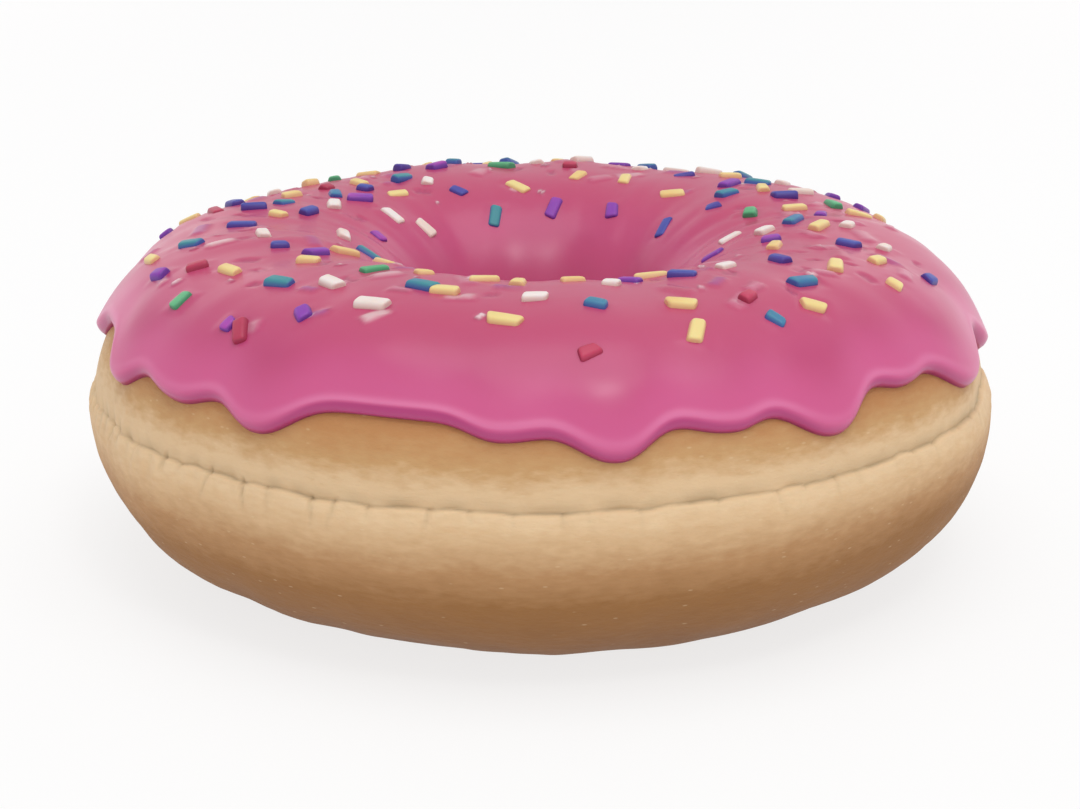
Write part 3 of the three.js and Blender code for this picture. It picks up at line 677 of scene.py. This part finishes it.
def bury(count, seed, tints, sizes, height, places, swell, tint):
    """Raises the skin over swallowed sprinkles or crumbs, and lets their colour show through. A height
    below zero is a dent, where one fell off again, and its darker tint is painted shade in the dent."""
    draw = random_draws(seed)
    centres = []
    while len(centres) < count:
        azimuth = FULL_TURN * next(draw)
        radius = BURIED_INNER_RADIUS + (SPRINKLE_OUTER_RADIUS - BURIED_INNER_RADIUS) * next(draw)
        on_front = math.exp(-(float(turned_away(azimuth, 0)) / 0.8) ** 2)
        kept = next(draw) < sprinkle_density(radius) * (1 - 0.75 * on_front * (radius > 33))
        turn = FULL_TURN * next(draw)
        colour, strength = tints[int(len(tints) * next(draw))]
        size = sizes[0] + (sizes[1] - sizes[0]) * next(draw)
        angle = icing_angle_at_radius(radius * MM)
        centre = icing_place(azimuth, angle)
        if not kept or any((other - centre).length < BURIED_SPACING for other in centres):
            continue
        centres.append(centre)
        frame_of_rod = np.array(sprinkle_matrix(azimuth, angle, turn, 0, 0, 0))
        side, out, along = ((places - frame_of_rod[:3, 3]) @ frame_of_rod[:3, :3]).T
        near = np.abs(out) < 2 * MM
        across = np.abs(side) / (BURIED_HALF_WIDTH * size)
        lengthwise = np.abs(along) / (BURIED_HALF_LENGTH * size)
        dome = smooth_step(1.3, 0.3, across) * smooth_step(1.25, 0.7, lengthwise) * near
        swell += height * dome
        shown = strength * smooth_step(1.1, 0.35, across) * smooth_step(1.1, 0.6, lengthwise) * near
        stronger = shown > tint[:, 3]
        tint[stronger, :3] = linear(colour)[:3]
        tint[stronger, 3] = shown[stronger]


def set_fondant():
    """Set sugar fondant: a smooth skin with a soft gloss, and light that sinks a little way in. Its
    colour also carries painted light: a sheen tint on the crest, fill light on the low slope, a
    highlight line on the lip's ridge and shade along the lip.
    """
    material, tree, shader = new_material("poured_sugar_fondant")
    coords = add_node(tree, "ShaderNodeTexCoord").outputs["Object"]
    rim_shade = add_node(tree, "ShaderNodeAttribute", {"attribute_name": "rim_shade"}).outputs["Fac"]
    crest_sheen = add_node(tree, "ShaderNodeAttribute", {"attribute_name": "crest_sheen"}).outputs["Fac"]
    low = add_node(tree, "ShaderNodeAttribute", {"attribute_name": "low_slope_light"}).outputs["Fac"]
    edge_highlight = add_node(tree, "ShaderNodeAttribute", {"attribute_name": "edge_highlight"}).outputs["Fac"]
    clouds = add_node(tree, "ShaderNodeTexNoise", Vector=coords, Scale=1 / FONDANT_CLOUD_WIDTH,
                      Detail=3.0).outputs["Fac"]
    ramp = add_node(tree, "ShaderNodeValToRGB", Fac=clouds)
    set_ramp(ramp, FONDANT_COLOURS)
    colour = ramp.outputs["Color"]
    # Painted light: the crest's sheen tint, the low slope's fill light, the ridge's highlight line and
    # the lip's shade are mixed into the colour.
    for share, other_colour in ((crest_sheen, FONDANT_CREST_SHEEN), (low, FONDANT_LOW_SLOPE_LIGHT),
                                (edge_highlight, FONDANT_EDGE_HIGHLIGHT), (rim_shade, FONDANT_RIM_SHADE)):
        colour = add_node(tree, "ShaderNodeMix", {"data_type": "RGBA"}, Factor=share, _6=colour,
                          _7=linear(other_colour)).outputs[2]
    tint = add_node(tree, "ShaderNodeAttribute", {"attribute_name": "sugar_tint"})
    tinted = add_node(tree, "ShaderNodeMix", {"data_type": "RGBA"}, Factor=tint.outputs["Alpha"],
                      _6=colour, _7=tint.outputs["Color"])
    tree.links.new(tinted.outputs[2], shader.inputs["Base Color"])
    ripple = add_node(tree, "ShaderNodeTexNoise", Vector=coords, Scale=1 / FONDANT_RIPPLE_WIDTH,
                      Detail=2.0).outputs["Fac"]
    bump = add_node(tree, "ShaderNodeBump", Strength=0.12, Distance=0.3 * MM, Height=ripple)
    tree.links.new(bump.outputs["Normal"], shader.inputs["Normal"])
    shader.inputs["Roughness"].default_value = 0.31
    shader.inputs["Specular IOR Level"].default_value = 0.5
    shader.inputs["Subsurface Weight"].default_value = 0.15
    shader.inputs["Subsurface Radius"].default_value = (1.0, 0.35, 0.45)
    shader.inputs["Subsurface Scale"].default_value = 1.2 * MM
    return material


def is_laid(azimuth_degrees, radius):
    """Whether the sprinkles there are laid one by one."""
    return abs(azimuth_degrees) < LAID_AZIMUTH or radius < LAID_RADIUS


def drawn_colour(draw, near):
    """One of the sugar colours that don't lie near, as often as it turns up in the mix."""
    colours = [colour for colour in SUGAR_COLOURS if colour not in near] or list(SUGAR_COLOURS)
    left = next(draw) * sum(SUGAR_COLOURS[colour][1] for colour in colours)
    for colour in colours:
        left -= SUGAR_COLOURS[colour][1]
        if left <= 0:
            break
    return colour


def scatter_sprinkles():
    """Each sprinkle's azimuth, section angle, turn, tilt, roll, height above the icing, length and
    colour."""
    draw = random_draws(SPRINKLE_SEED)
    colour_draw = random_draws(SPRINKLE_COLOUR_SEED)
    laid_draw = random_draws(LAID_LENGTH_SEED)
    crest_draw = random_draws(CREST_LENGTH_SEED)
    spread = SPRINKLE_LONGEST - SPRINKLE_SHORTEST
    sprinkles = []
    for places, proud, length_draw in ((SLOPE_SPRINKLES, SPRINKLE_SLOPE_PROUD, laid_draw),
                                       (WALL_SPRINKLES, SPRINKLE_WALL_PROUD, laid_draw),
                                       (LIP_SPRINKLES, SPRINKLE_LIP_PROUD, laid_draw),
                                       (CREST_SPRINKLES, SPRINKLE_CREST_PROUD, crest_draw)):
        for azimuth_degrees, radius, turn, colour in places:
            angle = icing_angle_at_radius(radius * MM)
            sprinkles.append((math.radians(azimuth_degrees), angle, math.radians(turn), 0, 0,
                              proud, SPRINKLE_SHORTEST + spread * next(length_draw), colour))
    centres = [icing_place(one[0], one[1]) for one in sprinkles]
    while len(sprinkles) < SPRINKLE_COUNT:
        azimuth_degrees = 360 * next(draw) - 180
        radius = SPRINKLE_INNER_RADIUS + (SPRINKLE_OUTER_RADIUS - SPRINKLE_INNER_RADIUS) * next(draw)
        keep = next(draw)
        turn = FULL_TURN * next(draw)
        tilt = math.radians(SPRINKLE_TILT) * (2 * next(draw) - 1)
        roll = math.radians(SPRINKLE_ROLL) * (2 * next(draw) - 1)
        proud = SPRINKLE_PROUD - SPRINKLE_SINKING * next(draw) ** 2
        length = SPRINKLE_SHORTEST + spread * next(draw)
        azimuth = math.radians(azimuth_degrees)
        angle = icing_angle_at_radius(radius * MM)
        centre = icing_place(azimuth, angle)
        crowded = any((other - centre).length < SPRINKLE_SPACING for other in centres)
        laid = is_laid(azimuth_degrees, radius)
        if keep < sprinkle_density(radius) and not laid and not crowded:
            near = {one[-1] for one, other in zip(sprinkles, centres)
                    if (other - centre).length < SPRINKLE_NEARNESS}
            sprinkles.append((azimuth, angle, turn, tilt, roll, proud, length,
                              drawn_colour(colour_draw, near)))
            centres.append(centre)
    return sprinkles


def under_sprinkles(places):
    """How far each place lies under or close beside a sprinkle, from 0 to 1: the skin is even there."""
    covered = np.zeros(len(places))
    for azimuth, angle, turn, tilt, roll, proud, length, _ in all_sprinkles:
        rod = np.array(sprinkle_matrix(azimuth, angle, turn, tilt, roll, proud))
        side, out, along = ((places - rod[:3, 3]) @ rod[:3, :3]).T
        beside = smooth_step(2.2 * SPRINKLE_RADIUS, 0.9 * SPRINKLE_RADIUS, np.abs(side))
        lengthwise = smooth_step(0.5 * length + SPRINKLE_RADIUS, 0.5 * length, np.abs(along))
        covered = np.maximum(covered, beside * lengthwise * (np.abs(out) < 3 * MM))
    return covered


all_sprinkles = scatter_sprinkles()

icing_mesh = rolled_ring(ICING_SECTION, ICING_AROUND)
azimuth, turn = ring_angles(icing_mesh)
drop = drip_drop_at(azimuth)
hole_edge = HOLE_EDGE_HEIGHT + sum(size * np.sin(around * azimuth + start)
                                   for around, size, start in HOLE_EDGE_WAVES)
outer_end = angle_at_height(EDGE_HEIGHT - drop, DOUGH_UPPER_HEIGHT, DOUGH_UPPER_SQUARENESS)
inner_end = math.pi - angle_at_height(hole_edge, DOUGH_UPPER_HEIGHT, DOUGH_UPPER_SQUARENESS)

# The skin's points crowd towards both rims, where the lip is rounded.
share = turn / FULL_TURN
skin_part = np.clip(share / OUTER_SKIN_SHARE, 0, 1)
skin_part -= SKIN_CROWDING * np.sin(FULL_TURN * skin_part)
under_part = np.clip((share - OUTER_SKIN_SHARE) / (1 - OUTER_SKIN_SHARE), 0, 1)
on_skin = share <= OUTER_SKIN_SHARE
angle = np.where(on_skin, outer_end + (inner_end - outer_end) * skin_part,
                 inner_end + (outer_end - inner_end) * under_part)
under_radius, under_level = dough_point(azimuth, angle, ICING_GAP)

# The full surface is tucked down towards the outer rim, so that the lip stands just above it.
from_outer = (angle - outer_end) * DOUGH_UPPER_WIDTH
full_tuck = outer_end - angle_at_height(EDGE_HEIGHT - drop, ICING_HEIGHT, ICING_OUTER_SQUARENESS)
tucked = angle - LIP_TUCK_SHARE * full_tuck * np.exp(-(from_outer / LIP_TUCK_REACH) ** 2)
full_radius, full_level = icing_point(azimuth, tucked)
from_inner = (inner_end - angle) * DOUGH_HOLE_WIDTH
from_rim = np.maximum(np.minimum(from_outer, from_inner), 0)
softness = np.minimum(LIP_DRIP_SOFTENING * drop + LIP_SIDE_SOFTENING * np.sin(azimuth) ** 2, 1)
bead = LIP_BEAD * np.exp(-(from_rim / LIP_BEAD_REACH) ** 2)
ridge = np.exp(-((from_rim - LIP_RIDGE_PLACE) / (0.5 * MM)) ** 2) * (1 - 0.7 * softness)
bead += LIP_RIDGE * ridge
puff = DRIP_RIDGE * drop * np.exp(-((from_outer - DRIP_RIDGE_PLACE) / DRIP_RIDGE_REACH) ** 2)
places = ring_places(azimuth, full_radius, full_level)
fold_places = ring_places(azimuth, RING_RADIUS, 0.25 * DOUGH_UPPER_WIDTH * angle)
on_crest = smooth_step(0.55, 0.95, np.sin(angle))
at_sides = 0.35 + 0.65 * np.sin(azimuth) ** 2
folds = on_crest * at_sides * wander(fold_places, 3 * MM, 7.7)
flow = FLOW_HEIGHT * wander(places, 9 * MM, 4.1) + FOLD_HEIGHT * folds
most_thinned = RIM_THINNING + RIM_FRONT_THINNING * np.cos(azimuth) ** 2
most_thinned *= np.maximum(1 - DRIP_FILLING * drop, 0)
thinning = most_thinned * np.exp(-(from_outer / RIM_THINNING_REACH) ** 2)
swell = np.zeros(len(angle))
tint = np.zeros((len(angle), 4))
bury(BURIED_COUNT, BURIED_SEED, BURIED_TINTS, BURIED_SIZES, BURIED_SWELL, places, swell, tint)
bury(CRUMB_COUNT, CRUMB_SEED, CRUMB_TINTS, CRUMB_SIZES, BURIED_SWELL, places, swell, tint)
# Painted shade: the dents are tinted a darker rose.
bury(DENT_COUNT, DENT_SEED, DENT_SHADE_TINTS, DENT_SIZES, -DENT_DEPTH, places, swell, tint)
tint[~on_skin, 3] = 0
flow = (flow + swell) * (1 - under_sprinkles(places))
extra = bead + puff - thinning + flow * smooth_step(1 * MM, 5 * MM, from_rim)
across = np.minimum(from_rim / LIP_WIDTH, 1)
squareness = LIP_SQUARENESS - LIP_ROUNDING * softness
rise = np.where(on_skin, (1 - (1 - across) ** squareness) ** (1 / squareness), 0)
radius = under_radius + rise * (full_radius + extra * np.cos(angle) - under_radius)
level = under_level + rise * (full_level + extra * np.sin(angle) - under_level)
place_ring(icing_mesh, azimuth, radius, level)
above_rim = level - dough_point(azimuth, outer_end, ICING_GAP)[1]
# Painted shade: the lip's lowest band, which faces down, is painted a darker pink.
rim_shade_top = (1.32 + 0.2 * softness) * MM
rim_shade_band = smooth_step(rim_shade_top, rim_shade_top - (0.22 + 0.9 * softness) * MM, above_rim)
keep_values(icing_mesh, "rim_shade", rim_shade_band * (from_outer < 5 * MM))
# Painted highlight: a paler line along the ridge just above the lip.
keep_values(icing_mesh, "edge_highlight", ridge * smooth_step(1.2 * MM, 1.45 * MM, above_rim))
# Painted sheen: the crest's warm tint.
keep_values(icing_mesh, "crest_sheen", smooth_step(0.7, 1.0, np.sin(angle)) * on_skin)
# Painted light: the lower slope near the outer rim is painted brighter, as fill light.
keep_values(icing_mesh, "low_slope_light", smooth_step(8 * MM, 2 * MM, from_outer))
icing_tint = icing_mesh.attributes.new("sugar_tint", "FLOAT_COLOR", "POINT")
icing_tint.data.foreach_set("color", tint.astype(np.float32).ravel())

icing = finished_piece("pink_icing_poured", icing_mesh, set_fondant())
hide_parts("pink_icing")

# ------------------------------------------------------------------------------------------------
# Sprinkles.
# Short rods of pressed sugar, cut from a six-sided string and shaken over the icing while it was
# soft, so that each has sunk about half its thickness. Each colour is one piece. Its rods are copies
# of one plain tube, whose points are moved to six soft-edged sides and rounded ends.
ROD_AROUND = 28
ROD_EDGE_SQUARENESS = 8
ROD_END_STEPS = 4
ROD_RINGS = 2 * ROD_END_STEPS + 3
ROD_END_ROUNDING = 0.36 * MM
ROD_END_BULGE = 0.03 * MM
ROD_MIDDLE_SWELL = 0.02
ROD_THINNEST = 0.92
ROD_THICKNESS_SPREAD = 0.14
ROD_SLANT = 0.3
ROD_TAPER = 0.14
ROD_SHAPE_SEED = 777
SUGAR_BATCH_WIDTH = 6.667 * MM
SUGAR_GRAIN_WIDTH = 1.111 * MM


def plain_rod():
    """A closed round tube of radius 1, cut into rings that lie 1 apart."""
    shape = bmesh.new()
    bmesh.ops.create_cone(shape, cap_ends=True, cap_tris=True, segments=ROD_AROUND, radius1=1,
                          radius2=1, depth=ROD_RINGS - 1)
    lengthwise = [edge for edge in shape.edges if abs(edge.verts[0].co.z - edge.verts[1].co.z) > 1]
    bmesh.ops.subdivide_edges(shape, edges=lengthwise, cuts=ROD_RINGS - 2)
    bmesh.ops.recalc_face_normals(shape, faces=shape.faces[:])
    mesh = bpy.data.meshes.new("plain_rod")
    shape.to_mesh(mesh)
    shape.free()
    return mesh


def rod_points(plain_points, thickness, length, slants, taper):
    """The plain rod's points, moved to a soft-edged six-sided section that is rounded in at both
    ends. The ends are cut slantwise, as rods break, and one end is a little thinner."""
    x, y, z = plain_points.T
    way = np.arctan2(y, x)
    ring = np.round(z + 0.5 * (ROD_RINGS - 1)).astype(int)
    on_axis = np.hypot(x, y) < 0.5
    corner = math.radians(SPRINKLE_CORNER)
    facets = [(quarter, math.sin(corner)) for quarter in (0.25 * FULL_TURN, 0.75 * FULL_TURN)]
    facets += [(facing, math.cos(corner / 2)) for facing in (corner / 2, math.pi - corner / 2,
                                                             math.pi + corner / 2, -corner / 2)]
    near = sum((np.maximum(np.cos(way - facing), 0) / away) ** ROD_EDGE_SQUARENESS
               for facing, away in facets)
    section = thickness * near ** (-1 / ROD_EDGE_SQUARENESS)
    bend = np.arange(ROD_END_STEPS + 1) / ROD_END_STEPS * FULL_TURN / 4
    from_end = np.append(ROD_END_ROUNDING * (1 - np.cos(bend)), 0.5 * length)
    drawn_in = np.append(ROD_END_ROUNDING * (1 - np.sin(bend)), -ROD_MIDDLE_SWELL * thickness)
    along = np.append(from_end - 0.5 * length, (0.5 * length - from_end)[-2::-1])[ring]
    drawn_in = np.append(drawn_in, drawn_in[-2::-1])[ring]
    part = along / length + 0.5
    reach = np.where(on_axis, 0, section * (1 - drawn_in / thickness) * (1 - taper * part))
    across = reach * np.cos(way)
    slanted = along + across * (slants[0] * (1 - part) + slants[1] * part)
    slanted += on_axis * ROD_END_BULGE * np.sign(along)
    return np.stack((across, reach * np.sin(way), slanted), axis=1)


def sprinkle_piece(colour, sprinkles, plain, draw):
    """All rods of one colour, as one mesh."""
    plain_points = np.empty(len(plain.vertices) * 3)
    plain.vertices.foreach_get("co", plain_points)
    shape = bmesh.new()
    points = []
    for azimuth, angle, turn, tilt, roll, proud, length, _ in sprinkles:
        place = np.array(sprinkle_matrix(azimuth, angle, turn, tilt, roll, proud))
        thickness = SPRINKLE_RADIUS * (ROD_THINNEST + ROD_THICKNESS_SPREAD * next(draw))
        slants = (ROD_SLANT * (2 * next(draw) - 1), ROD_SLANT * (2 * next(draw) - 1))
        formed = rod_points(plain_points.reshape(-1, 3), thickness, length, slants,
                            ROD_TAPER * next(draw))
        shape.from_mesh(plain)
        points.append(formed @ place[:3, :3].T + place[:3, 3])
    mesh = bpy.data.meshes.new(colour)
    shape.to_mesh(mesh)
    shape.free()
    mesh.vertices.foreach_set("co", np.concatenate(points).ravel())
    mesh.update()
    keep_facet_shades(mesh)
    return mesh


def keep_facet_shades(mesh):
    """Keeps for each point whether it is on a rod's side, 1, or faces up out of the icing, 0, for the
    painted shade on the sides.
    """
    normals = np.empty(len(mesh.vertices) * 3)
    places = np.empty(len(mesh.vertices) * 3)
    mesh.vertices.foreach_get("normal", normals)
    mesh.vertices.foreach_get("co", places)
    normals = normals.reshape(-1, 3)
    x, y, z = places.reshape(-1, 3).T
    round_ring = np.arctan2(x, -y)
    core = ring_places(round_ring, RING_RADIUS, TABLE_LEVEL + RING_LIFT)
    outward = np.stack((x, y, z), axis=1) - core
    outward /= np.linalg.norm(outward, axis=1, keepdims=True)
    facing = (normals * outward).sum(axis=1)
    keep_values(mesh, "side_facet_shade", smooth_step(0.9, 0.3, facing))


def pressed_sugar(colour, tones):
    """Pressed coloured sugar: a fine hard grain with a thin wax glaze, so a soft even gloss. Its sides
    are painted darker than its top, as painted shade, and in some colours shifted in hue."""
    top_colour, second_colour, side_shade_colour = tones
    material, tree, shader = new_material("pressed_sugar_" + colour)
    coords = add_node(tree, "ShaderNodeTexCoord").outputs["Object"]
    batch = add_node(tree, "ShaderNodeTexNoise", Vector=coords, Scale=1 / SUGAR_BATCH_WIDTH,
                     Detail=1.0).outputs["Fac"]
    ramp = add_node(tree, "ShaderNodeValToRGB", Fac=batch)
    set_ramp(ramp, ((0.49, top_colour), (0.63, second_colour)))
    side = add_node(tree, "ShaderNodeAttribute", {"attribute_name": "side_facet_shade"}).outputs["Fac"]
    # Painted shade: the sides are mixed towards the darker side tone.
    toned = add_node(tree, "ShaderNodeMix", {"data_type": "RGBA"}, Factor=side,
                     _6=ramp.outputs["Color"], _7=linear(side_shade_colour))
    tree.links.new(toned.outputs[2], shader.inputs["Base Color"])
    # The grain is drawn coarser than real sugar's, so that it shows.
    grain = add_node(tree, "ShaderNodeTexNoise", Vector=coords, Scale=1 / SUGAR_GRAIN_WIDTH,
                     Detail=3.0).outputs["Fac"]
    bump = add_node(tree, "ShaderNodeBump", Strength=0.2, Distance=0.08 * MM, Height=grain)
    tree.links.new(bump.outputs["Normal"], shader.inputs["Normal"])
    shader.inputs["Roughness"].default_value = 0.42
    shader.inputs["Specular IOR Level"].default_value = 0.4
    shader.inputs["Subsurface Weight"].default_value = 0.08
    shader.inputs["Subsurface Scale"].default_value = 0.4 * MM
    return material


rod_mesh = plain_rod()
shape_draw = random_draws(ROD_SHAPE_SEED)
for colour, (tones, _) in SUGAR_COLOURS.items():
    chosen = [one for one in all_sprinkles if one[-1] == colour]
    rods = finished_piece("sprinkles_" + colour, sprinkle_piece(colour, chosen, rod_mesh, shape_draw),
                          pressed_sugar(colour, tones))
    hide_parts("pink_icing")
bpy.data.meshes.remove(rod_mesh)

# ------------------------------------------------------------------------------------------------
# Stage.
# A plain white table top that runs past the frame on every side, under a pale even sky. Four soft
# lights shine on it: a large one overhead, one behind at each side, and a small one in front.
FLOOR_GLOW = 0.77
SKY_STRENGTH = 0.62

floor_shape = bmesh.new()
bmesh.ops.create_grid(floor_shape, x_segments=1, y_segments=1, size=4.0)
floor_mesh = bpy.data.meshes.new("table_top")
floor_shape.to_mesh(floor_mesh)
floor_shape.free()
floor = bpy.data.objects.new("table_top", floor_mesh)
bpy.context.scene.collection.objects.link(floor)
floor_material, _, floor_shader = new_material("white_laminate")
floor_shader.inputs["Base Color"].default_value = linear("#808080")
floor_shader.inputs["Emission Color"].default_value = (1, 1, 1, 1)
floor_shader.inputs["Emission Strength"].default_value = FLOOR_GLOW
floor_shader.inputs["Roughness"].default_value = 0.8
floor_shader.inputs["Specular IOR Level"].default_value = 0.1
floor_mesh.materials.append(floor_material)

world = bpy.data.worlds.new("pale_sky")
bpy.context.scene.world = world
world.use_nodes = True
world.node_tree.nodes["Background"].inputs["Color"].default_value = (1, 1, 1, 1)
world.node_tree.nodes["Background"].inputs["Strength"].default_value = SKY_STRENGTH


def soft_light(name, place, target, width, height, power, colour="#ffffff"):
    """A rectangular soft light, turned to face a point."""
    light = bpy.data.lights.new(name, "AREA")
    light.shape = "RECTANGLE"
    light.size = width
    light.size_y = height
    light.energy = power
    light.color = linear(colour)[:3]
    lamp = bpy.data.objects.new(name, light)
    bpy.context.scene.collection.objects.link(lamp)
    lamp.location = place
    lamp.rotation_euler = (Vector(target) - Vector(place)).to_track_quat("-Z", "Y").to_euler()
    lamp.visible_camera = False


middle = (0, 0, 0.017)
soft_light("overhead_softbox", (0.05, -0.1, 0.6), middle, 0.5, 0.5, 1.15)
soft_light("left_softbox", (-0.34, 0.56, 0.2), middle, 0.42, 0.42, 0.3, "#ffecea")
soft_light("right_softbox", (0.34, 0.56, 0.2), middle, 0.45, 0.45, 0.32, "#ffecea")
soft_light("front_softbox", (0.14, -0.35, 0.6), middle, 0.14, 0.14, 0.47)

# ------------------------------------------------------------------------------------------------
# Camera.
# A short telephoto lens, straight on to the doughnut's front and looking a little down on it.
CAMERA_DISTANCE = 235.2 * MM
CAMERA_ELEVATION = math.radians(17.35)
CAMERA_LENS = 71.87
LOOK_AT_LEVEL = 13.9 * MM

camera_data = bpy.data.cameras.new("camera")
camera_data.sensor_width = 36.0
camera_data.lens = CAMERA_LENS
camera_data.clip_start = 0.01
camera = bpy.data.objects.new("camera", camera_data)
bpy.context.scene.collection.objects.link(camera)
look_at = Vector((0, 0, LOOK_AT_LEVEL))
away = Vector((0, -math.cos(CAMERA_ELEVATION), math.sin(CAMERA_ELEVATION)))
camera.location = look_at + away * CAMERA_DISTANCE
camera.rotation_euler = (math.pi / 2 - CAMERA_ELEVATION, 0, 0)
bpy.context.scene.camera = camera
bpy.context.scene.view_settings.view_transform = "Standard"
